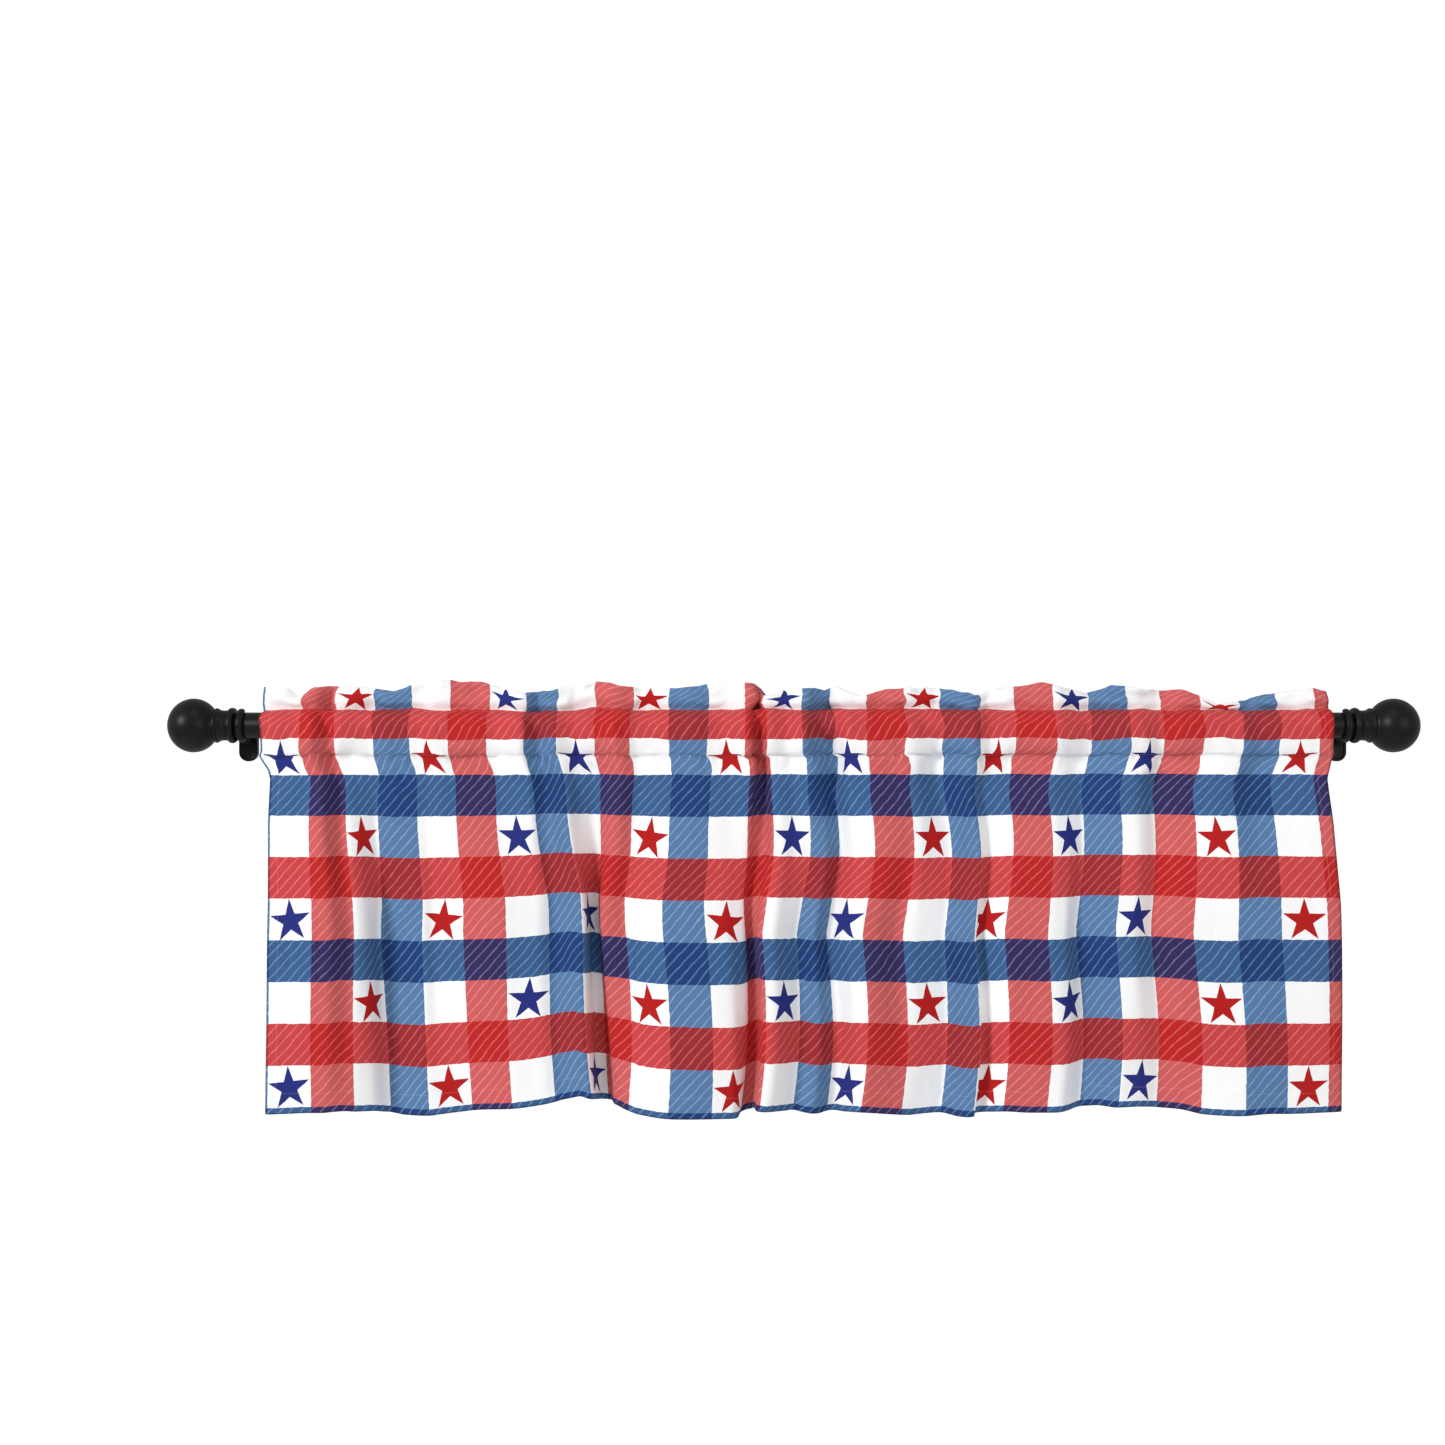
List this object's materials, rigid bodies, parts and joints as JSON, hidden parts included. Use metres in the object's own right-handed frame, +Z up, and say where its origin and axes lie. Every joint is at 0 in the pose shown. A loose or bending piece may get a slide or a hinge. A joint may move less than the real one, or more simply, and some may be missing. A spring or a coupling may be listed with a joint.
{
  "type": "window valance on a curtain rod",
  "caption": "Short gathered window valance with a rod pocket and ruffled heading, on a ball-ended curtain rod with wall brackets.",
  "frame": {"origin": "middle of the back of the left wall plate, where it meets the wall", "axes": "+X along the rod to the right as seen from the room, -Y into the room, +Z up"},
  "size_m": [1.3422, 0.1067, 0.4549],
  "materials": {
    "printed_cotton": "woven cotton printed with red, blue and white checks and stars",
    "black_metal": "satin black"
  },
  "bodies": {
    "root": {"valance": "printed_cotton", "rod": "black_metal", "finial_left": "black_metal", "finial_right": "black_metal", "wall_plate_left": "black_metal", "wall_plate_right": "black_metal", "rod_hook_left": "black_metal", "rod_hook_right": "black_metal"}
  },
  "joints": []
}
